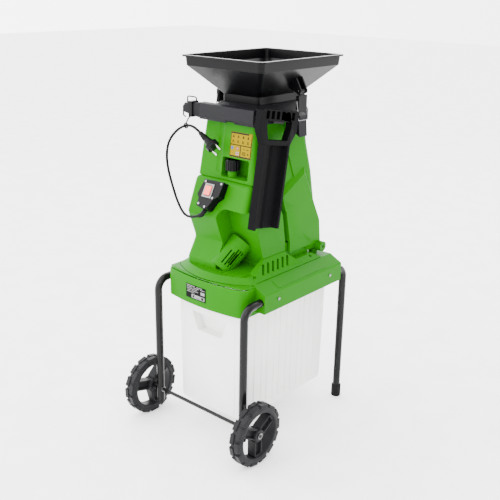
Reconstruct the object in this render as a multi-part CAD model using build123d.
from build123d import *
import math
import os

# Electric garden chipper on a wheeled tube frame, in millimetres.
# +Z is up, -Y is the switch side, +X is the side that carries the pusher.
# The origin is on the floor, under the middle of the object.

# ---- frame, axle, wheels -------------------------------------------------
TUBE_D = 21.0            # frame tube
TUBE_WALL = 1.5
LEG_X = 153.5            # leg plane, each side of the middle
FRONT_LEG_Y = -179.0
REAR_LEG_Y = 249.0
TUBE_Z = 414.0           # axis of the tubes' level run inside the base
TUBE_BEND_R = 32.0
FRAME_SCREW_Y = (-62.0, 162.0)       # screws from the rails into the tubes
FRONT_LEG_FOOT_Z = 46.0
CAP_D = 28.0             # rubber foot caps
CAP_H = 37.0
CAP_FLOOR = 4.0
AXLE_D = 10.0
WHEEL_R = 84.0
WHEEL_W = 33.0
WHEEL_X = 196.0          # wheel's middle plane
RIM_R = 61.5
LUG_H = 4.0
LUG_COUNT = 14
HUB_R = 17.0
SPOKE_W = 28.0
RUN_GAP = 0.06           # radial clearance of a running shaft
FREE_GAP = 0.4           # clearance between pieces that move past each other

# ---- base ----------------------------------------------------------------
WALL = 3.0
RAIL_X = 167.5           # outer face of the side rails
RAIL_Y0, RAIL_Y1 = -117.0, 217.0
RAIL_Z0, RAIL_Z1 = 386.0, 436.0
DECK_X = 130.0           # where the side slope meets the deck
DECK_Z = 455.0
FRONT_X = 136.0          # narrower front of the base
FRONT_Y = -176.0
FRONT_CORNER_Y = -160.0
FRONT_Z0 = 377.0
GUIDE_X = 131.0          # inner face of the box guides
GUIDE_LIP = 9.0
HINGE_Y, HINGE_Z = 195.0, 478.0
PIN_D = 9.0
EAR_X, EAR_W = 78.0, 12.0

# ---- collection box --------------------------------------------------------
BOX_X, BOX_FOOT_X = 119.0, 115.5
BOX_Y0, BOX_Y1 = -142.0, 225.0
BOX_Z0, BOX_Z1 = 62.0, 392.0
BOX_WALL = 2.2
BOX_TAPER_Y = 4.0
FLANGE_T = 3.0
BOX_RIBS = 6

# ---- motor cover -----------------------------------------------------------
COVER_X = 97.0
PLINTH_X = 127.0
PLINTH_H = 13.0
CHAMBER_X = 92.0
CHAMBER_Y0, CHAMBER_Y1 = 40.0, 165.0
CHAMBER_Z1 = 515.0
LEDGE_Z = 698.0
SEAM_GAP = 1.0
DRUM_R, DRUM_L = 31.0, 92.0
DRUM_SLOTS, GRILLE_SLOTS = 7, 6
PLATE_SCREWS = [(-83.6, -20.0), (83.6, -20.0), (-83.6, 120.0), (83.6, 120.0)]
COVER_SCREWS = [(114.0, -95.0), (-114.0, -95.0), (114.0, 140.0), (-114.0, 140.0)]

# ---- tower, collar, hopper ---------------------------------------------------
TOWER_Z1 = 852.0
TOWER_X0, TOWER_X1 = 97.0, 84.0      # half width at the ledge and at the top
ARM_X = 106.0
BOSS_R = 14.0
BOSS_X1 = 118.0
CHUTE_WALL = 2.5
THROAT_X = 52.0
THROAT_Y0, THROAT_Y1 = -22.0, 130.0
FEED_X = 44.0
FEED_Y0, FEED_Y1 = 82.0, 149.0
COLLAR_Z0, COLLAR_Z1 = 843.0, 885.0
COLLAR_FIT = 1.0
HOPPER_X, HOPPER_Y = 134.5, 169.5    # half sizes of the rim
HOPPER_CY = 62.0
HOPPER_Z = 1000.0
BAND_Z = 974.0
BAND_INSET = 9.0
NECK_X, NECK_Y = 60.0, 91.0
NECK_Z = 905.0
HOPPER_WALL = 2.5
PIVOT_X, PIVOT_Z = 112.0, 918.0
LATCH_Y = {"right": 77.0, "left": 27.0}
LEVER_W = 34.0
WIRE_D = 2.5

# ---- drive -------------------------------------------------------------------
SPINDLE_Y = 75.0
MOTOR_X, MOTOR_Y = -44.0, -50.0
PLATE_T = 4.0
DISC_R = 80.0
DISC_T = 6.0
DISC_Z = 476.0
SHAFT_D = 15.0
MOTOR_SHAFT_D = 10.0
MOTOR_R = 41.0
PULLEY_Z = 424.0
PULLEY_R = {"motor": 14.0, "spindle": 28.0}
BELT_W, BELT_T = 12.0, 4.0

# ---- switch, cord ------------------------------------------------------------
SWITCH_X = -10.0
SWITCH_Y, SWITCH_Z = -131.0, 664.0   # middle of the switch face
SWITCH_TILT = 28.0
SWITCH_DEPTH = 34.0
CORD_D = 7.0
KNOB_X, KNOB_Y = 10.0, -66.0
KNOB_R = 18.0

# ---- pusher --------------------------------------------------------------------
PUSHER_TILT = 9.5
PUSHER_X = 107.0
PUSHER_Y, PUSHER_Z = -68.0, 590.0    # middle of its lower end
PUSHER_W = 101.0
PUSHER_L = 212.0
GRIP_W = 145.0
GRIP_L = 84.0

os.makedirs("parts", exist_ok=True)
pieces = {}


def put(name, *solids):
    """Keep one node: one or more separate solids under one name."""
    found = []
    for item in solids:
        found.extend(item.solids())
    pieces[name] = Compound(children=found) if len(found) > 1 else found[0]


def block(x0, x1, y0, y1, z0, z1):
    return Pos((x0 + x1) / 2, (y0 + y1) / 2, (z0 + z1) / 2) * Box(x1 - x0, y1 - y0, z1 - z0)


def rod(x, y, z0, z1, r):
    """Upright cylinder from z0 to z1."""
    return Pos(x, y, (z0 + z1) / 2) * Cylinder(r, z1 - z0)


def rod_x(x0, x1, y, z, r):
    return Pos((x0 + x1) / 2, y, z) * Rot(0, 90, 0) * Cylinder(r, x1 - x0)


def rod_y(y0, y1, x, z, r):
    return Pos(x, (y0 + y1) / 2, z) * Rot(90, 0, 0) * Cylinder(r, y1 - y0)


def side_outline(points, radius=0.0, inset=0.0):
    """Outline in the YZ plane, rounded at its corners and then drawn in."""
    face = Plane.YZ * make_face(Polyline(*points, close=True))
    if radius:
        face = fillet(face.vertices(), radius)
    if inset:
        face = offset(face, -inset, kind=Kind.INTERSECTION)
    return face


def side_prism(points, half, radius=0.0, inset=0.0):
    return extrude(side_outline(points, radius, inset), half, both=True)


def front_prism(points, y0, y1):
    """Outline in the XZ plane, run from y0 to y1."""
    face = Plane.XZ.offset(-y0) * make_face(Polyline(*points, close=True))
    return extrude(face, y0 - y1)


def mirrored(shape):
    return mirror(shape, about=Plane.YZ)


def section(x, y0, y1, z, radius=0.0):
    """Level rectangle, +-x wide, for a loft."""
    face = Pos(0, (y0 + y1) / 2, z) * Rectangle(2 * x, y1 - y0)
    return fillet(face.vertices(), radius) if radius else face


# ---- frame ---------------------------------------------------------------------
def frame_tube(x):
    route = FilletPolyline(
        (x, FRONT_LEG_Y, FRONT_LEG_FOOT_Z),
        (x, FRONT_LEG_Y, TUBE_Z),
        (x, REAR_LEG_Y, TUBE_Z),
        (x, REAR_LEG_Y, CAP_FLOOR),
        radius=TUBE_BEND_R,
    )
    ends = Plane(origin=route @ 0, z_dir=route % 0)
    ring = ends * (Circle(TUBE_D / 2) - Circle(TUBE_D / 2 - TUBE_WALL))
    tube = sweep(ring, path=route)
    axle_hole = rod_x(x - TUBE_D, x + TUBE_D, FRONT_LEG_Y, WHEEL_R, AXLE_D / 2 + RUN_GAP)
    for y in FRAME_SCREW_Y:
        tube -= rod_x(x - TUBE_D, x + TUBE_D, y, TUBE_Z, 2.02)
    return tube - axle_hole


def foot_cap(x):
    cap = rod(x, REAR_LEG_Y, 0, CAP_H, CAP_D / 2)
    cap = fillet(cap.edges().filter_by(GeomType.CIRCLE), 2.5)
    return cap - rod(x, REAR_LEG_Y, CAP_FLOOR, CAP_H + 1, TUBE_D / 2 + 0.02)


put("frame_tube_left", frame_tube(-LEG_X))
put("frame_tube_right", frame_tube(LEG_X))
put("foot_cap_left", foot_cap(-LEG_X))
put("foot_cap_right", foot_cap(LEG_X))

wheel_in = WHEEL_X - WHEEL_W / 2
wheel_out = WHEEL_X + WHEEL_W / 2
leg_out = LEG_X + TUBE_D / 2
axle_end = wheel_out + 3.0
put("wheel_axle", rod_x(-axle_end, axle_end, FRONT_LEG_Y, WHEEL_R, AXLE_D / 2))


def axle_ring(x0, x1, r):
    return (rod_x(x0, x1, FRONT_LEG_Y, WHEEL_R, r)
            - rod_x(x0 - 1, x1 + 1, FRONT_LEG_Y, WHEEL_R, AXLE_D / 2 + 0.02))


spacer = axle_ring(leg_out, wheel_in - 0.5, 9.0)
put("axle_spacers", spacer, mirrored(spacer))
clip = axle_ring(wheel_out + 0.5, wheel_out + 2.0, 8.0)
inner_clip = axle_ring(LEG_X - TUBE_D / 2 - 2.0, LEG_X - TUBE_D / 2, 7.5)
put("axle_clips", clip, mirrored(clip), inner_clip, mirrored(inner_clip))


def wheel():
    """Moulded wheel with its axis on X, outer face at +x."""
    half = WHEEL_W / 2
    tread_r = WHEEL_R - LUG_H
    body = Rot(0, 90, 0) * Cylinder(tread_r, WHEEL_W)
    body = fillet(body.edges().filter_by(GeomType.CIRCLE), 5)
    body -= Rot(0, 90, 0) * Cylinder(RIM_R, WHEEL_W + 2)
    hub = Rot(0, 90, 0) * Cylinder(HUB_R, WHEEL_W)
    spoke = Pos(0, 0, (RIM_R + 2) / 2) * Box(WHEEL_W - 8, SPOKE_W, RIM_R + 2)
    spoke -= Pos(WALL, 0, (HUB_R + RIM_R) / 2) * Box(WHEEL_W - 8, SPOKE_W - 2 * WALL, RIM_R - HUB_R - 2)
    body += hub
    for turn in (0, 120, 240):
        body += Rot(180 + turn, 0, 0) * spoke
    pitch = 360 / LUG_COUNT
    for i in range(LUG_COUNT):
        for side, phase in ((-1, 0), (1, 0.5)):
            lug = Pos(side * half / 2, 0, tread_r) * Box(half * 0.72, 17, 2 * LUG_H)
            body += Rot((i + phase) * pitch, 0, 0) * lug
    body &= Rot(0, 90, 0) * Cylinder(WHEEL_R, WHEEL_W)
    return body - Rot(0, 90, 0) * Cylinder(AXLE_D / 2 + RUN_GAP, WHEEL_W + 2)


right_wheel = Pos(WHEEL_X, FRONT_LEG_Y, WHEEL_R) * wheel()
put("wheel_right", right_wheel)
put("wheel_left", mirrored(right_wheel))


# ---- base ------------------------------------------------------------------------
def rail_section(inset):
    """Half section of the wide part: rail face, slope and deck."""
    x, slope = RAIL_X - inset, DECK_X - inset / 3
    return [(-x, RAIL_Z0), (-x, RAIL_Z1 - inset / 2), (-slope, DECK_Z - inset),
            (slope, DECK_Z - inset), (x, RAIL_Z1 - inset / 2), (x, RAIL_Z0)]


def front_plan(inset, z, y_back):
    """Plan of the narrow front with its bowed face and round corners."""
    x = FRONT_X - inset
    bow = ThreePointArc((-x, FRONT_CORNER_Y + inset, z), (0, FRONT_Y + inset, z),
                        (x, FRONT_CORNER_Y + inset, z))
    sides = Polyline((x, FRONT_CORNER_Y + inset, z), (x, y_back, z), (-x, y_back, z),
                     (-x, FRONT_CORNER_Y + inset, z))
    face = make_face([bow, sides])
    corners = face.vertices().sort_by(Axis.Y)[:2]
    return fillet(corners, 24 - inset)


def base_skirt():
    wide = front_prism(rail_section(0), RAIL_Y0, RAIL_Y1)
    wide = fillet(wide.edges().filter_by(Axis.Y).sort_by(Axis.Z)[2:], 5)
    nose = extrude(front_plan(0, FRONT_Z0, RAIL_Y0 + 20), DECK_Z - FRONT_Z0)
    front_edges = nose.faces().sort_by(Axis.Z)[-1].edges().filter_by_position(
        Axis.Y, -500, FRONT_CORNER_Y + 20)
    nose = fillet(front_edges, 13)
    shell = wide + nose
    shell -= front_prism([(x, z if z > RAIL_Z0 else z - 1) for x, z in rail_section(WALL)],
                         RAIL_Y0 + WALL, RAIL_Y1 - WALL)
    shell -= extrude(front_plan(WALL, FRONT_Z0 - 1, RAIL_Y0 + 30), DECK_Z - WALL - FRONT_Z0 + 1)
    # the box leaves to the rear under the deck
    shell -= block(-GUIDE_X, GUIDE_X, RAIL_Y1 - 3 * WALL, RAIL_Y1 + 1, RAIL_Z0 - 1, BOX_Z1 + 12)
    # opening under the drive and the chip outlet
    shell -= block(-80, 80, -85, 150, DECK_Z - 10, DECK_Z + 1)
    guide = block(GUIDE_X, GUIDE_X + WALL, BOX_Y0, RAIL_Y1 - WALL, BOX_Z1 - 4, DECK_Z - WALL)
    guide += block(GUIDE_X - GUIDE_LIP, GUIDE_X, BOX_Y0, RAIL_Y1, BOX_Z1 - 4, BOX_Z1 - 0.3)
    for y in (RAIL_Y0 + 57, 50.0, RAIL_Y1 - 57):
        guide += block(GUIDE_X + WALL, RAIL_X - WALL, y - 2, y + 2, TUBE_Z - 14, RAIL_Z1 - 6)
    pad = front_prism([(RAIL_X - 6, RAIL_Z1 + 2), (DECK_X + 8, DECK_Z - 5), (DECK_X + 8.6, DECK_Z - 3.2),
                       (RAIL_X - 5.2, RAIL_Z1 + 4)], RAIL_Y0 + 62, RAIL_Y1 - 67)
    guide += pad
    shell += guide
    shell += mirrored(guide)
    for side in (-1, 1):
        shell -= Pos(side * LEG_X, (RAIL_Y0 + RAIL_Y1) / 2, TUBE_Z) * Rot(90, 0, 0) * Cylinder(
            TUBE_D / 2 + 0.3, RAIL_Y1 - RAIL_Y0 + 2)
        ear = block(EAR_X, EAR_X + EAR_W, HINGE_Y - 12, HINGE_Y + 12, DECK_Z - 1, HINGE_Z)
        ear += rod_x(EAR_X, EAR_X + EAR_W, HINGE_Y, HINGE_Z, 12)
        shell += ear if side > 0 else mirrored(ear)
    shell -= rod_x(-100, 100, HINGE_Y, HINGE_Z, PIN_D / 2 + 0.02)
    for x, y in COVER_SCREWS + PLATE_SCREWS:
        shell -= rod(x, y, DECK_Z - 10, DECK_Z + 1, 2.02)
    for y in FRAME_SCREW_Y:
        shell -= rod_x(-RAIL_X - 1, RAIL_X + 1, y, TUBE_Z, 2.1)
    return shell


put("base_skirt", base_skirt())
nose_slab = extrude(front_plan(0, 393, RAIL_Y0), 38)
put("rating_plate", (Pos(0, -0.9, 0) * nose_slab - nose_slab) & block(-52, 20, FRONT_Y - 2, FRONT_Y + 20, 390, 440))


def collection_box():
    outer = loft([section(BOX_FOOT_X, BOX_Y0 + BOX_TAPER_Y, BOX_Y1 - BOX_TAPER_Y, BOX_Z0, 18),
                  section(BOX_X, BOX_Y0, BOX_Y1, BOX_Z1, 18)])
    outer = fillet(outer.faces().sort_by(Axis.Z)[0].edges(), 9)
    t = BOX_WALL
    inner = loft([section(BOX_FOOT_X - t, BOX_Y0 + BOX_TAPER_Y + t, BOX_Y1 - BOX_TAPER_Y - t,
                          BOX_Z0 + t, 16),
                  section(BOX_X - t, BOX_Y0 + t, BOX_Y1 - t, BOX_Z1 + FLANGE_T + 1, 16)])
    inner = fillet(inner.faces().sort_by(Axis.Z)[0].edges(), 7)
    span = BOX_Y1 - BOX_Y0
    for i in range(BOX_RIBS):
        y = BOX_Y0 + span * (i + 1) / (BOX_RIBS + 1)
        rib = front_prism([(BOX_FOOT_X - 1, BOX_Z0 + 30), (BOX_FOOT_X + 2.4, BOX_Z0 + 30),
                           (BOX_X + 1.2, BOX_Z1 - 20), (BOX_X - 1, BOX_Z1 - 20)], y - 4, y + 4)
        outer += rib
        outer += mirrored(rib)
    flange = extrude(section(GUIDE_X - 3, BOX_Y0, BOX_Y1, BOX_Z1, 10), FLANGE_T)
    grip = front_prism([(-62, 338), (62, 338), (42, 288), (-42, 288)], BOX_Y0 - 2, BOX_Y0 + 26)
    lining = front_prism([(-65, 341), (65, 341), (44, 285), (-44, 285)], BOX_Y0 + 1, BOX_Y0 + 29)
    return (outer + flange - inner) + lining - grip


put("collection_box", collection_box())
put("hinge_pin", rod_x(-BOSS_X1 + 3, BOSS_X1 - 3, HINGE_Y, HINGE_Z, PIN_D / 2))


# ---- motor cover -------------------------------------------------------------------
COVER_SIDE = [(-126, DECK_Z - 5), (-127, 484), (-99, 533), (-127, 608), (-92, LEDGE_Z), (-18, LEDGE_Z),
              (18, 645), (44, 600), (58, 520), (58, DECK_Z - 5)]


def plinth(inset, z):
    x = PLINTH_X - inset
    bow = ThreePointArc((-x, -122 + inset / 2, z), (0, -168 + inset, z), (x, -122 + inset / 2, z))
    back = Polyline((x, -122 + inset / 2, z), (x, CHAMBER_Y1 + 8 - inset, z),
                    (-x, CHAMBER_Y1 + 8 - inset, z), (-x, -122 + inset / 2, z))
    return make_face([bow, back])


def drum_axis():
    """Axis of the round louvred drum that leans back into the front."""
    return Plane(origin=(8, -110, 468), z_dir=(0.25, 0.66, 0.71))


def cover_form(inset):
    half = COVER_X - inset
    shape = side_prism(COVER_SIDE, half, 16, inset)
    side_edges = shape.edges().filter_by(lambda e: abs(abs(e.center().X) - half) < 0.1
                                         and e.center().Z > DECK_Z)
    shape = fillet(side_edges, 13 - inset)
    # the front falls away towards the pusher's side, below a round-topped arch
    fall = side_prism([(-92, 690), (-74 + inset, 600), (-36 + inset, 480), (-36 + inset, 440),
                       (-220, 440), (-220, 690)], 200)
    arch = front_prism([(8 - inset, 470 - 2 * inset), (8 - inset, 634 + inset), (140, 634 + inset),
                        (140, 470 - 2 * inset)], -220, 60)
    arch = fillet(arch.edges().filter_by(Axis.Y).sort_by(Axis.X)[:2].sort_by(Axis.Z)[-1], 30)
    shape -= fall & arch
    corner = Plane(origin=(COVER_X, -92, LEDGE_Z), x_dir=(-0.82, -0.57, 0),
                   z_dir=Vector(0.52, -0.76, 0.3).normalized())
    shape -= corner * Pos(0, 0, 100 - inset) * Box(400, 400, 200)
    drum = drum_axis() * Pos(0, 0, DRUM_L / 2) * Cylinder(DRUM_R - inset, DRUM_L - 2 * inset)
    shape += drum & side_prism([(-200, DECK_Z + inset), (-200, 640), (20, 640), (20, DECK_Z + inset)],
                               COVER_X - inset)
    return shape


def motor_cover():
    outer = cover_form(0)
    outer += loft([plinth(0, DECK_Z), plinth(18, DECK_Z + PLINTH_H)])
    chamber = block(-CHAMBER_X, CHAMBER_X, CHAMBER_Y0, CHAMBER_Y1, DECK_Z, CHAMBER_Z1)
    outer += fillet(chamber.edges().filter_by(Axis.Z), 12)
    wedge = front_prism([(COVER_X - 6, 497), (COVER_X + 2, 497), (124, DECK_Z), (COVER_X - 6, DECK_Z)],
                        -116, 96)
    ends = [(-116, DECK_Z), (-36, 500), (-36, 600), (-300, 600), (-300, DECK_Z)]
    rear = [(96, DECK_Z), (40, 500), (40, 600), (300, 600), (300, DECK_Z)]
    wedge -= side_prism(ends, 200)
    wedge -= side_prism(rear, 200)
    outer += wedge
    outer += mirrored(wedge)
    outer &= block(-200, 200, -300, 300, DECK_Z, 900)
    hollow = cover_form(WALL)
    hollow += block(-CHAMBER_X + WALL, CHAMBER_X - WALL, 0, CHAMBER_Y1 - WALL,
                    DECK_Z - 5, CHAMBER_Z1 - WALL)
    outer -= hollow - block(-200, 200, -300, 300, LEDGE_Z - WALL, LEDGE_Z + 50)
    # mouth over the cutter, fed from above
    outer -= block(-FEED_X, FEED_X, FEED_Y0, FEED_Y1, CHAMBER_Z1 - 20, CHAMBER_Z1 + 1)
    # clearance slot for the lock bolt
    outer -= block(KNOB_X - 5, KNOB_X + 5, KNOB_Y - 5, KNOB_Y + 20, LEDGE_Z - 20, LEDGE_Z + 1)
    # louvres: round drum, then the slanted side panels
    for i in range(DRUM_SLOTS):
        outer -= drum_axis() * Rot(0, 0, -150 + i * 18) * Pos(DRUM_R, 0, 34) * Box(10, 3.4, 42)
    for side in (-1, 1):
        for i in range(GRILLE_SLOTS):
            lean = Plane(origin=(side * 111.5, -58 + i * 20, 476), x_dir=(side * 0.86, 0, 0.51),
                         z_dir=(-side * 0.45, 0.5, 0.74))
            outer -= lean * Box(24, 7, 30)
    for x, y in COVER_SCREWS:
        outer -= rod(x, y, DECK_Z + PLATE_T, DECK_Z + 60, 4.6)
        outer -= rod(x, y, DECK_Z - 1, DECK_Z + 20, 2.1)
    return outer


put("motor_cover", motor_cover())


# ---- tower ---------------------------------------------------------------------------
PANEL_DEPTH = 2.5
POCKET_Z0, POCKET_Z1 = LEDGE_Z + 8, 756.0
POCKET_X0, POCKET_X1 = -14.0, 74.0
KNOB_Z = LEDGE_Z + 24 + FREE_GAP
BOLT_R = 4.0
SEAM = [(-15, LEDGE_Z + SEAM_GAP), (22, 650), (49, 602), (64, 520)]
TOWER_LEVELS = [(490, 102, -110, 205), (562, 99.5, -101, 192), (LEDGE_Z, TOWER_X0, -84, 166),
                (772, 90.8, -75, 150), (TOWER_Z1, TOWER_X1, -65, 142)]
COLLAR_SCREWS = [(x, y) for x in (-70, 70) for y in (-50, 136)]


def rounded_level(x, y0, y1, z, front_r, rear_r):
    face = section(x, y0, y1, z)
    face = fillet(face.vertices().sort_by(Axis.Y)[:2], front_r)
    return fillet(face.vertices().sort_by(Axis.Y)[-2:], rear_r)


def tower_form(inset_x, inset_y, top=0.0):
    levels = [rounded_level(x - inset_x, y0 + inset_y, y1 - inset_y, z - (top if z == TOWER_Z1 else 0),
                            12, 25) for z, x, y0, y1 in TOWER_LEVELS]
    return loft(levels, ruled=True)


def arm():
    """Proud flank that carries the hinge boss, right side."""
    foot = [(-8, 655), (36, 600), (64, 528), (158, 472), (204, 472), (198, 556), (120, 716)]
    face = [(20, 650), (72, 618), (104, 543), (166, 502), (196, 492), (188, 556), (112, 700)]
    x0 = CHAMBER_X + 3
    flank = loft([Plane.YZ.offset(x0) * make_face(Polyline(*foot, close=True)),
                  Plane.YZ.offset(ARM_X) * make_face(Polyline(*face, close=True))], ruled=True)
    return flank + rod_x(x0, BOSS_X1, HINGE_Y, HINGE_Z, BOSS_R)


def tower_housing():
    shell = tower_form(0, 0)
    panel = Plane.YZ * make_face(Polyline((-56, 838), (44, 838), (52, 774), (74, 704), (104, 616),
                                          (60, 640), (24, 668), (-8, 704), (-56, 704), close=True))
    shell -= extrude(panel, 200, both=True) - tower_form(PANEL_DEPTH, -60)
    flank = arm()
    shell += flank
    shell += mirrored(flank)
    shell -= side_prism([(-300, LEDGE_Z + SEAM_GAP)] + SEAM + [(64, 400), (-300, 400)], 200)
    shell -= side_prism([(60, 520), (186, 520), (192, 500), (300, 500), (300, 400), (60, 400)], CHAMBER_X + 3)
    hollow = tower_form(PANEL_DEPTH + WALL, WALL, WALL)
    floor_line = side_prism([(-300, LEDGE_Z + SEAM_GAP + WALL), (-13, LEDGE_Z + SEAM_GAP + WALL), (25, 652),
                             (52, 604), (67, 523), (300, 523), (300, 400), (-300, 400)], 200)
    hollow -= floor_line
    down_front = Vector(0, -19, -154).normalized()
    groove = Plane(origin=(-24, -84, 860), z_dir=down_front)
    hollow -= groove * Pos(0, 0, 70) * Cylinder(26 + WALL, 400)
    hollow -= block(POCKET_X0 - WALL, POCKET_X1 + WALL, -120, KNOB_Y + KNOB_R + 9,
                    LEDGE_Z, POCKET_Z1 + WALL)
    shell -= hollow
    shell -= groove * Pos(0, 0, 62) * Cylinder(22, 160)
    pocket = block(POCKET_X0, POCKET_X1, -120, KNOB_Y + KNOB_R + 6, POCKET_Z0, POCKET_Z1)
    shell -= fillet(pocket.edges().filter_by(Axis.Y), 5)
    shell += rod(KNOB_X, KNOB_Y, POCKET_Z0 - 1, KNOB_Z - FREE_GAP, 12.5)
    shell -= rod(KNOB_X, KNOB_Y, LEDGE_Z - 10, KNOB_Z, BOLT_R + 0.1)
    # chute: through the top, and through the floor above the cutter
    shell -= block(-THROAT_X - 0.5, THROAT_X + 0.5, THROAT_Y0 - 0.5, THROAT_Y1 + 0.5,
                   TOWER_Z1 - 10, TOWER_Z1 + 5)
    shell -= block(-FEED_X - 2, FEED_X + 2, FEED_Y0 - 4, FEED_Y1 + 2, 510, 530)
    shell -= rod_x(-130, 130, HINGE_Y, HINGE_Z, PIN_D / 2 + RUN_GAP)
    for x, y in COLLAR_SCREWS:
        shell -= rod(x, y, TOWER_Z1 - 10, TOWER_Z1 + 5, 2.02)
    return shell


put("tower_housing", tower_housing())
label_zone = block(8, 78, -200, -40, 760, 822)
put("warning_label", (tower_form(0, -0.6) & label_zone) - tower_form(0, 0))


def feed_chute():
    t = CHUTE_WALL
    z0 = CHAMBER_Z1 + 2 * SEAM_GAP
    outer = loft([section(FEED_X, FEED_Y0, FEED_Y1, z0), section(THROAT_X, THROAT_Y0, THROAT_Y1, TOWER_Z1)])
    inner = loft([section(FEED_X - t, FEED_Y0 + t, FEED_Y1 - t, z0 - 1),
                  section(THROAT_X - t, THROAT_Y0 + t, THROAT_Y1 - t, TOWER_Z1 + 3)])
    flange = extrude(section(THROAT_X + 8, THROAT_Y0 - 8, THROAT_Y1 + 5, TOWER_Z1), 2)
    return outer + flange - inner


put("feed_chute", feed_chute())


# ---- handle collar ---------------------------------------------------------------------
HORN_X = 134.0
HANG = Pos(PUSHER_X, PUSHER_Y, PUSHER_Z) * Rot(-PUSHER_TILT, 0, 0)


def horn():
    return loft([Plane.YZ.offset(-82) * Pos(-82, 865) * RectangleRounded(18, 40, 5),
                 Plane.YZ.offset(-HORN_X) * Pos(-86, 867) * RectangleRounded(16, 25, 5)])


def handle_collar():
    zc = TOWER_Z1 + 11

    def dome(inset):
        skirt = extrude(section(89 - inset, -69 + inset, 148.5 - inset, COLLAR_Z0, 14 - inset), zc - COLLAR_Z0)
        cap = loft([section(89 - inset, -69 + inset, 148.5 - inset, zc, 14 - inset),
                    section(NECK_X + 5 - inset, HOPPER_CY - NECK_Y - 5 + inset,
                            HOPPER_CY + NECK_Y - 1 - inset, COLLAR_Z1, 7)])
        return skirt + cap

    cap = dome(0) - (dome(WALL) & block(-200, 200, -200, 300, TOWER_Z1, COLLAR_Z1 - WALL))
    cap -= extrude(section(TOWER_X1 + 1 + COLLAR_FIT, -66 - COLLAR_FIT, 143 + COLLAR_FIT,
                           COLLAR_Z0 - 1, 11), TOWER_Z1 - COLLAR_Z0 + 1)
    throat = block(-THROAT_X - WALL, THROAT_X + WALL, THROAT_Y0 - WALL, THROAT_Y1 + WALL,
                   TOWER_Z1 + 2, COLLAR_Z1 - 1)
    cap += throat & dome(0)
    for x, y in COLLAR_SCREWS:
        cap += rod(x, y, TOWER_Z1, zc + 14, 7) & dome(0)
    grip = Plane.YZ.offset(-82) * make_face(Polyline((-93, 852), (-90, 884), (-74, 886), (-62, 880), (-62, 856),
                                                     (-69, 856), (-69, 845), (-88, 843), close=True))
    bar = extrude(grip, 179)
    bar = fillet(bar.edges().filter_by(Axis.X).sort_by(Axis.Y)[:3], 4)
    cap += bar - block(-78, 93, -88, -72, 840, 879)
    cap += horn()
    cap -= extrude(section(THROAT_X, THROAT_Y0, THROAT_Y1, COLLAR_Z0), 60)
    cap -= block(8, 34, -96, -84, COLLAR_Z0 - 4, COLLAR_Z0 + 8)
    for name, side in (("right", 1), ("left", -1)):
        y = LATCH_Y[name]
        keeper = front_prism([(86, 862), (110, 862), (121.5, 857), (121.5, 848), (117.6, 848), (122, 804),
                              (104, 816), (88.6, 817), (88.6, 850), (86, 852)], y - 16, y + 16)
        cap += keeper if side > 0 else mirrored(keeper)
    # shelf that carries the pusher by its window
    cap += HANG * block(87.5 - PUSHER_X, 15, -20, 20, PUSHER_L + 50.7, PUSHER_L + 55.7)
    for x, y in COLLAR_SCREWS:
        cap -= rod(x, y, TOWER_Z1 - 5, 900, 2.1)
        cap -= rod(x, y, TOWER_Z1 + 10, 900, 4.6)
    return cap


put("handle_collar", handle_collar())


def pan_screw(at, shank, head_r=4.0, r=2.0, head_h=2.5):
    """Screw whose head sits on the plane at, shank along its -z."""
    screw = Pos(0, 0, -shank / 2) * Cylinder(r, shank) + Pos(0, 0, head_h / 2) * Cylinder(head_r, head_h)
    return at * (screw - Pos(0, 0, head_h) * Box(head_r * 1.4, 0.9, 1.6))


def upright(x, y, z):
    return Plane(origin=(x, y, z))


put("collar_screws", *[pan_screw(upright(x, y, TOWER_Z1 + 10), 13) for x, y in COLLAR_SCREWS])
put("cover_screws", *[pan_screw(upright(x, y, DECK_Z + PLATE_T), 12) for x, y in COVER_SCREWS])
put("frame_screws", *[pan_screw(Plane(origin=(s * RAIL_X, y, TUBE_Z), z_dir=(s, 0, 0)), 18)
                      for s in (-1, 1) for y in FRAME_SCREW_Y])


# ---- hopper and its latches ---------------------------------------------------------------
def hopper():
    x0, y0, y1 = HOPPER_X, HOPPER_CY - HOPPER_Y, HOPPER_CY + HOPPER_Y
    nx, ny0, ny1 = NECK_X, HOPPER_CY - NECK_Y, HOPPER_CY + NECK_Y
    b = BAND_INSET
    sx, sy0, sy1 = THROAT_X - 1, THROAT_Y0 + 1, THROAT_Y1 - 1

    def form(t, top):
        funnel = loft([section(nx - t, ny0 + t, ny1 - t, NECK_Z, 8 - t),
                       section(x0 - b - t, y0 + b + t, y1 - b - t, BAND_Z, 12 - t)])
        band = loft([section(x0 - b - t, y0 + b + t, y1 - b - t, BAND_Z, 12 - t),
                     section(x0 - b + 2 - t, y0 + b - 2 + t, y1 - b + 2 - t, top, 12 - t)])
        return funnel + band + extrude(section(nx - t, ny0 + t, ny1 - t, COLLAR_Z1, 8 - t), NECK_Z - COLLAR_Z1)

    outer = form(0, HOPPER_Z) + extrude(section(x0, y0, y1, HOPPER_Z - 4, 16), 4)
    outer += extrude(section(sx, sy0, sy1, COLLAR_Z1 - 22, 4), 23)
    outer -= form(HOPPER_WALL, HOPPER_Z + 1) & block(-200, 200, -200, 300, COLLAR_Z1 + 2.5, 1100)
    outer -= extrude(section(sx - HOPPER_WALL, sy0 + HOPPER_WALL, sy1 - HOPPER_WALL, COLLAR_Z1 - 30, 2), 60)
    for name, side in (("right", 1), ("left", -1)):
        y = LATCH_Y[name]
        for e0, e1 in ((y - 14, y - 9.5), (y + 9.5, y + 14)):
            ear = front_prism([(78, 926), (102, 952), (119, 922), (PIVOT_X, PIVOT_Z - 8)], e0, e1)
            ear += rod_y(e0, e1, PIVOT_X, PIVOT_Z, 8)
            ear -= rod_y(e0 - 1, e1 + 1, PIVOT_X, PIVOT_Z, 2.02)
            outer += ear if side > 0 else mirrored(ear)
    return outer


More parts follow.
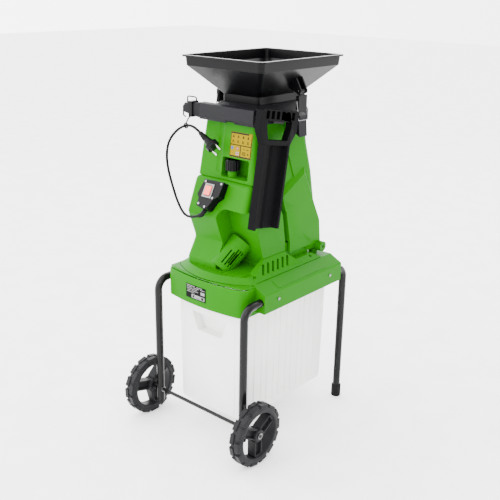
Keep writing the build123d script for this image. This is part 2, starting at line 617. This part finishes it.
put("hopper", hopper())
WIRE_TOP_Z = PIVOT_Z - 24
WIRE_FOOT = (PIVOT_X + 7.5, 846.0)


def latch_lever(y):
    plate = block(PIVOT_X - 3, PIVOT_X + 3, y - 9, y + 9, PIVOT_Z - 12, PIVOT_Z)
    plate += rod_y(y - 9, y + 9, PIVOT_X, PIVOT_Z, 5)
    plate += block(PIVOT_X - 4, PIVOT_X + 5, y - LEVER_W / 2, y + LEVER_W / 2, PIVOT_Z - 46, PIVOT_Z - 10.5)
    plate -= rod_y(y - 10, y + 10, PIVOT_X, PIVOT_Z, 2 + RUN_GAP)
    return plate - rod_y(y - 30, y + 30, PIVOT_X, WIRE_TOP_Z, WIRE_D / 2 + 0.2)


def latch_wire(y):
    half = LEVER_W / 2 + 2.0
    (fx, fz), tx, tz = WIRE_FOOT, PIVOT_X, WIRE_TOP_Z
    route = FilletPolyline((tx, y, tz), (tx, y + half, tz), (fx, y + half, fz), (fx, y - half, fz),
                           (tx, y - half, tz), (tx, y - 0.5, tz), radius=2.6)
    return sweep(Plane(origin=route @ 0, z_dir=route % 0) * Circle(WIRE_D / 2), path=route)


for name, side in (("right", 1), ("left", -1)):
    for kind, make in (("latch_lever", latch_lever), ("latch_wire", latch_wire)):
        solid = make(LATCH_Y[name])
        put(f"{kind}_{name}", solid if side > 0 else mirrored(solid))
put("latch_pins", *[rod_y(LATCH_Y[n] - 14, LATCH_Y[n] + 14, s * PIVOT_X, PIVOT_Z, 2)
                    for n, s in (("right", 1), ("left", -1))])


# ---- pusher ------------------------------------------------------------------------------
def pusher():
    """Channel shaft with a comb grip; x is its depth, z its length."""
    w, g, wall, top = PUSHER_W / 2, GRIP_W / 2, 3.0, PUSHER_L + GRIP_L
    cross = make_face(Polyline((0, -w), (20, -w), (20, 8 - w), (wall + 3, 12 - w), (wall, -7), (wall + 4, 0),
                               (wall, 7), (wall + 3, w - 12), (20, w - 8), (20, w), (0, w), close=True))
    shaft = extrude(cross, PUSHER_L)
    grip = extrude(Plane.YZ * make_face(Polyline((-w, PUSHER_L - 2), (w, PUSHER_L - 2), (g, PUSHER_L + 34),
                                                 (g, top), (-g, top), (-g, PUSHER_L + 34), close=True)), 19)
    grip = fillet(grip.edges().filter_by(Axis.X).sort_by(Axis.Z)[-2:], 8)
    window = Plane.YZ * make_face(Polyline((13 - w, PUSHER_L + 10), (w - 13, PUSHER_L + 10),
                                           (w - 3, PUSHER_L + 42), (w - 3, PUSHER_L + 56),
                                           (3 - w, PUSHER_L + 56), (3 - w, PUSHER_L + 42), close=True))
    grip -= extrude(window, 60, both=True)
    for i in range(6):
        y = (i - 2.5) * 20
        grip -= block(4, 40, y - 6, y + 6, PUSHER_L + 61, top - 4)
    return HANG * (shaft + grip)


put("pusher", pusher())


# ---- lock knob -----------------------------------------------------------------------------
def lock_knob():
    knob = rod(KNOB_X, KNOB_Y, KNOB_Z, KNOB_Z + 28, KNOB_R - 1.5)
    knob = fillet(knob.edges().filter_by(GeomType.CIRCLE).sort_by(Axis.Z)[-1], 3)
    for i in range(16):
        knob += Pos(KNOB_X, KNOB_Y, KNOB_Z + 12.5) * Rot(0, 0, i * 22.5) * Pos(KNOB_R - 1.5, 0, 0) * Cylinder(
            1.5, 25)
    return knob - rod(KNOB_X, KNOB_Y, KNOB_Z - 1, KNOB_Z + 18, BOLT_R)


put("lock_knob", lock_knob())
put("lock_bolt", rod(KNOB_X, KNOB_Y, LEDGE_Z - 8, KNOB_Z + 18, BOLT_R))
# switch under the ledge that the bolt's tip closes
sensor = block(KNOB_X - 16, KNOB_X + 16, KNOB_Y - 14, KNOB_Y + 14, LEDGE_Z - 30, LEDGE_Z - WALL)
put("interlock_switch", sensor - block(KNOB_X - 9, KNOB_X + 9, KNOB_Y - 20, KNOB_Y + 30,
                                       LEDGE_Z - 8.5, LEDGE_Z))


# ---- switch ---------------------------------------------------------------------------------
SWITCH_OUTLINE = [(-32, 39.5), (33, 41), (30, 4), (15, -9), (4, -33), (-4, -37), (-32, -31), (-32, -12), (-41, -1)]
SWITCH_SCREWS = [(-26, 34), (27, 35.5), (13, -4), (-26, -25), (-3, -30)]
ROCKER_AT = (-8.0, 12.0)
LID_T = 2.5


def on_switch(x=0.0, up=0.0, out=0.0):
    """Place on the switch face: x across, y up the slope, z outwards."""
    a = math.radians(SWITCH_TILT)
    face = Plane(origin=(SWITCH_X, SWITCH_Y, SWITCH_Z), x_dir=(1, 0, 0), z_dir=(0, -math.cos(a), math.sin(a)))
    return face * Pos(x, up, out)


def switch_slab(inset, out0, out1):
    face = make_face(Polyline(*SWITCH_OUTLINE, close=True))
    if inset:
        face = offset(face, -inset, kind=Kind.INTERSECTION)
    return on_switch(0, 0, out0) * extrude(face, out1 - out0)


def switch_box():
    box = switch_slab(0, -SWITCH_DEPTH, -LID_T) - switch_slab(2.5, -SWITCH_DEPTH, -LID_T)
    for x, y in SWITCH_SCREWS:
        post = on_switch(x, y, -LID_T - 12) * Cylinder(3.6, 24)
        box += post & switch_slab(0, -SWITCH_DEPTH, -LID_T)
        box -= on_switch(x, y, -7) * Cylinder(1.5, 16)
    return box - cover_form(0)


def switch_lid():
    lid = switch_slab(0, -LID_T, 0) - on_switch(*ROCKER_AT) * Box(24, 32, 12)
    for x, y in SWITCH_SCREWS:
        lid -= on_switch(x, y, 0) * Cylinder(1.6, 8)
    return lid


def switch_bezel():
    bezel = on_switch(*ROCKER_AT, 1) * Box(30, 36, 2) + on_switch(*ROCKER_AT, -4) * Box(23.6, 31.6, 12)
    bezel -= on_switch(*ROCKER_AT, 0) * Box(20.4, 28, 30)
    return bezel - on_switch(*ROCKER_AT, 0) * Rot(0, 90, 0) * Cylinder(1.2 + RUN_GAP, 23)


def switch_rocker():
    key = on_switch(*ROCKER_AT, 0) * Rot(0, 90, 0) * Cylinder(13.0, 19.4)
    key &= on_switch(*ROCKER_AT, 0.5) * Box(19.4, 24.5, 8)
    return key + on_switch(*ROCKER_AT, 0) * Rot(0, 90, 0) * Cylinder(1.2, 22.4)


put("switch_box", switch_box())
put("switch_lid", switch_lid())
put("switch_bezel", switch_bezel())
put("switch_rocker", switch_rocker())
put("switch_screws", *[pan_screw(on_switch(x, y, 0), 10, 3.0, 1.48, 1.6) for x, y in SWITCH_SCREWS])


# ---- cord ---------------------------------------------------------------------------------------
# from the gland, out to the left, up and over its hanger to the plug
CORD_POINTS = [
    (-33.0, -144.0, 610.0),
    (-59.0, -147.0, 599.5),
    (-88.0, -146.0, 604.0),
    (-114.0, -142.0, 633.0),
    (-138.0, -135.0, 668.0),
    (-160.0, -128.0, 703.0),
    (-174.0, -121.0, 740.0),
    (-171.0, -116.0, 776.0),
    (-151.0, -112.5, 803.0),
    (-126.0, -110.0, 821.0),
    (-102.0, -108.0, 828.0),
    (-81.0, -106.5, 823.5),
    (-66.0, -105.5, 813.0),
]


def bent_rod(points, d, radius):
    route = FilletPolyline(*points, radius=radius)
    return sweep(Plane(origin=route @ 0, z_dir=route % 0) * Circle(d / 2), path=route)


def corner_radii(points):
    radii = []
    for before, at, after in zip(points, points[1:], points[2:]):
        leg_in, leg_out = Vector(*at) - Vector(*before), Vector(*after) - Vector(*at)
        turn = math.radians(leg_in.get_angle(leg_out))
        radii.append(0.45 * min(leg_in.length, leg_out.length) / math.tan(turn / 2))
    return radii


cord_radii = corner_radii(CORD_POINTS)
cord_route = FilletPolyline(*CORD_POINTS, radius=cord_radii)
cord_section = Plane(origin=cord_route @ 0, z_dir=cord_route % 0) * Circle(CORD_D / 2)
cord = sweep(cord_section, path=cord_route)
put("power_cord", cord)
print("cord radii", [round(r, 1) for r in cord_radii])
print("cord length", round(cord_route.length, 1), "volume ratio",
      round(cord.volume / (cord_section.area * cord_route.length), 4))

gland_root = on_switch(-12, -34, -SWITCH_DEPTH / 2).position
gland_bend = cord_route @ 0 - (cord_route % 0) * 9
gland = bent_rod([gland_root, gland_bend, cord_route @ 0], 12, 7)
put("cord_gland", gland - switch_slab(0, -SWITCH_DEPTH, 0) - cover_form(0))

plug_at = Plane(origin=cord_route @ 1, z_dir=cord_route % 1, x_dir=(0.1, -1, 0))


def plug_body():
    body = plug_at * Pos(0, 0, 12) * Cone(5, 7.5, 24)
    for i in range(4):
        body += plug_at * Pos(0, 0, 5 + i * 5.5) * Cylinder(6.2 + i * 0.7, 3)
    body += plug_at * Pos(0, 0, 34) * Cone(8, 12, 20)
    body += plug_at * Pos(0, 0, 49) * Cylinder(17, 12)
    return body


put("plug_body", plug_body())
put("plug_pins", *[plug_at * Pos(0, s * 9.5, 55 + 9.5) * Cylinder(2.4, 19) for s in (-1, 1)])


def cord_hook():
    """Band round the horn, wire loops at its end, and a ring that holds the cord."""
    band = block(-116, -104, -96, -72, 846, 886) - horn()
    ring_at = Plane(origin=(-112, -108.9, 825.1), z_dir=(24, 2, 7))
    ring = ring_at * Torus(6.0, 1.9)
    stem = bent_rod([(-111, -94.5, 848), (-111, -103, 841), (-112, -107.5, 832)], 3.6, 4)
    top = bent_rod([(-129, -85.5, 879), (-129, -85.5, 896), (-97, -85.5, 896), (-97, -85.5, 881)], 3.6, 5)
    end = bent_rod([(-132, -86, 874), (-144, -86, 871), (-144, -86, 846), (-136, -86, 842)], 3.6, 4)
    return [band + stem + ring, top - horn(), end - horn()]


put("cord_hook", *cord_hook())


# ---- drive ------------------------------------------------------------------------------------------
PLATE_Z1 = DECK_Z + PLATE_T
OUTLET = (44.0, 78.0, 30.0, 140.0)   # chip outlet, x and y
HOUSING_R = 26.0


def mounting_plate():
    plate = block(-87, 87, -91, 158, DECK_Z, PLATE_Z1)
    plate -= rod(0, SPINDLE_Y, DECK_Z - 1, PLATE_Z1 + 1, HOUSING_R + 0.05)
    plate -= rod(MOTOR_X, MOTOR_Y, DECK_Z - 1, PLATE_Z1 + 1, 12)
    plate -= block(*OUTLET, DECK_Z - 1, PLATE_Z1 + 1)
    for x, y in PLATE_SCREWS:
        plate -= rod(x, y, DECK_Z - 1, PLATE_Z1 + 1, 2.1)
    return plate


put("mounting_plate", mounting_plate())
put("plate_screws", *[pan_screw(upright(x, y, PLATE_Z1), 11, 3.8) for x, y in PLATE_SCREWS])
motor_z1 = PLATE_Z1 + 112
can = rod(MOTOR_X, MOTOR_Y, PLATE_Z1, motor_z1, MOTOR_R)
can = fillet(can.edges().filter_by(GeomType.CIRCLE).sort_by(Axis.Z)[-1], 5)
can -= rod(MOTOR_X, MOTOR_Y, PLATE_Z1 + 4, motor_z1 - 4, MOTOR_R - 3)
can -= rod(MOTOR_X, MOTOR_Y, PLATE_Z1 - 1, motor_z1 + 1, MOTOR_SHAFT_D / 2 + RUN_GAP)
put("motor_can", can)
shaft = rod(MOTOR_X, MOTOR_Y, PULLEY_Z - 12, motor_z1 + 16, MOTOR_SHAFT_D / 2)
put("motor_shaft", shaft + rod(MOTOR_X, MOTOR_Y, PLATE_Z1 + 12, motor_z1 - 14, MOTOR_R - 9))
fan = rod(MOTOR_X, MOTOR_Y, motor_z1 + 3, motor_z1 + 6, 34) + rod(MOTOR_X, MOTOR_Y, motor_z1 + 3, motor_z1 + 15, 11)
for i in range(8):
    fan += Pos(MOTOR_X, MOTOR_Y, motor_z1 + 9) * Rot(0, 0, i * 45) * Pos(21, 0, 0) * Box(24, 2, 12)
put("cooling_fan", fan - rod(MOTOR_X, MOTOR_Y, motor_z1, motor_z1 + 20, MOTOR_SHAFT_D / 2 + 0.02))


def pulley(x, y, r, bore):
    half = BELT_W / 2 + 1
    wheel_ = rod(x, y, PULLEY_Z - half - 2, PULLEY_Z + half + 2, r + 3)
    wheel_ -= rod(x, y, PULLEY_Z - half, PULLEY_Z + half, r + 5) - rod(x, y, PULLEY_Z - half, PULLEY_Z + half, r)
    return wheel_ - rod(x, y, PULLEY_Z - 20, PULLEY_Z + 20, bore)


def belt_loop(margin, z0, z1):
    """Stadium round both pulleys, margin outside them."""
    rims = [Pos(MOTOR_X, MOTOR_Y) * CenterArc((0, 0), PULLEY_R["motor"] + margin, 0, 360),
            Pos(0, SPINDLE_Y) * CenterArc((0, 0), PULLEY_R["spindle"] + margin, 0, 360)]
    return Pos(0, 0, z0) * extrude(make_hull([edge for rim in rims for edge in rim.edges()]), z1 - z0)


put("motor_pulley", pulley(MOTOR_X, MOTOR_Y, PULLEY_R["motor"], MOTOR_SHAFT_D / 2 + 0.02))
put("spindle_pulley", pulley(0, SPINDLE_Y, PULLEY_R["spindle"], SHAFT_D / 2 + 0.02))
belt_z = (PULLEY_Z - BELT_W / 2, PULLEY_Z + BELT_W / 2)
put("drive_belt", belt_loop(0.3 + BELT_T, *belt_z) - belt_loop(0.3, belt_z[0] - 1, belt_z[1] + 1))
put("belt_guard", belt_loop(13, PULLEY_Z - 16, DECK_Z) - belt_loop(11, PULLEY_Z - 14, DECK_Z + 1))

housing = rod(0, SPINDLE_Y, PULLEY_Z + 11, PLATE_Z1, HOUSING_R) + rod(0, SPINDLE_Y, PLATE_Z1, PLATE_Z1 + 4, 34)
housing -= rod(0, SPINDLE_Y, PULLEY_Z + 13, PLATE_Z1 + 5, 16.02)
housing -= rod(0, SPINDLE_Y, PULLEY_Z, PLATE_Z1 + 5, 12)
put("bearing_housing", housing)
put("spindle_bearings", *[rod(0, SPINDLE_Y, z, z + 9, 16) - rod(0, SPINDLE_Y, z - 1, z + 10, SHAFT_D / 2 + RUN_GAP)
                          for z in (PULLEY_Z + 13, PLATE_Z1 - 6)])
disc_z1 = DISC_Z + DISC_T
spindle = rod(0, SPINDLE_Y, PULLEY_Z - 12, disc_z1 + 10, SHAFT_D / 2)
put("spindle_shaft", spindle + rod(0, SPINDLE_Y, PLATE_Z1 + 6, DISC_Z, 13))
disc = rod(0, SPINDLE_Y, DISC_Z, disc_z1, DISC_R) - rod(0, SPINDLE_Y, DISC_Z - 1, disc_z1 + 1, SHAFT_D / 2 + 0.02)
disc = fillet(disc.edges().filter_by(GeomType.CIRCLE).sort_by(SortBy.RADIUS)[-2:], 1)
BLADE_HOLES = (38.0, 62.0)
for turn in (0, 180):
    for r in BLADE_HOLES:
        disc -= Pos(0, SPINDLE_Y, DISC_Z) * Rot(0, 0, turn) * Pos(r, 0, 0) * Cylinder(2.52, 30)
put("cutter_disc", disc)


def cutter_blade(turn):
    bar = block(26, 76, -14, 10, 0, 5) - Pos(51, -14, 5) * Rot(45, 0, 0) * Box(60, 6, 6)
    for r in BLADE_HOLES:
        bar -= rod(r, 0, -1, 6, 2.52) + Pos(r, 0, 3.5) * Cone(2.5, 5.55, 3.05)
    return Pos(0, SPINDLE_Y, disc_z1) * Rot(0, 0, turn) * bar


def blade_screw(turn, r):
    screw = rod(r, 0, -DISC_T, 2, 2.5) + Pos(r, 0, 3.5) * Cone(2.5, 5.5, 3)
    return Pos(0, SPINDLE_Y, disc_z1) * Rot(0, 0, turn) * screw


put("cutter_blades", cutter_blade(0), cutter_blade(180))
put("blade_screws", *[blade_screw(turn, r) for turn in (0, 180) for r in BLADE_HOLES])
nut = Pos(0, SPINDLE_Y, disc_z1) * extrude(RegularPolygon(12, 6), 8)
put("disc_nut", nut - rod(0, SPINDLE_Y, disc_z1 - 1, disc_z1 + 20, SHAFT_D / 2 + 0.02))
put("counter_blade", block(16, 60, FEED_Y0 - 12, FEED_Y0 - 1, disc_z1 + 7, CHAMBER_Z1 - WALL))

for name, shape in pieces.items():
    export_step(shape, f"parts/{name}.step")
